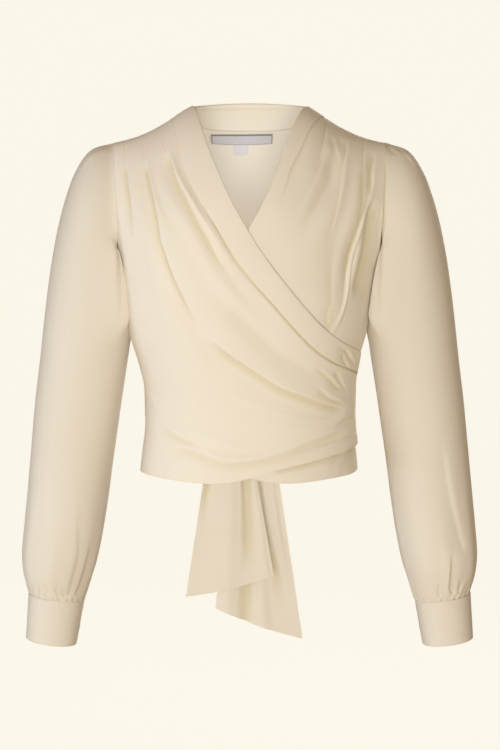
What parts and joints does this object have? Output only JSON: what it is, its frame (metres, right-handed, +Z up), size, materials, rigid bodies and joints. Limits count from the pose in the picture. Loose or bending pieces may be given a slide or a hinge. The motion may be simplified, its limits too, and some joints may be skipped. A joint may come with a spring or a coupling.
{
  "type": "wrap top",
  "caption": "Long-sleeved wrap top in its worn shape: crossed fronts, folded neckband, deep cuffs and ties knotted at the back.",
  "frame": {"origin": "midway between the two neck points, where the neckband meets the shoulder seams and the wearer's shoulders hold the top", "axes": "+Z up along the wearer, -Y the front, +X the wearer's left"},
  "size_m": [0.5862, 0.2442, 0.7214],
  "materials": {
    "crepe": "pale cream crepe, matt with a faint sheen",
    "button": "small cream shirt button",
    "label_ribbon": "pale lilac-grey woven ribbon, bare"
  },
  "bodies": {
    "root": {"back": "crepe", "front_left": "crepe", "front_right": "crepe", "neckband_back": "crepe", "neckband_left": "crepe", "neckband_right": "crepe", "sleeve_left": "crepe", "sleeve_right": "crepe", "cuff_left": "crepe", "cuff_right": "crepe", "cuff_button_left_1": "button", "cuff_button_left_2": "button", "cuff_button_right_1": "button", "cuff_button_right_2": "button", "tie_left": "crepe", "tie_right": "crepe", "tie_knot": "crepe", "tie_tail_front": "crepe", "tie_tail_back": "crepe", "label": "label_ribbon", "size_tab": "label_ribbon"}
  },
  "joints": []
}
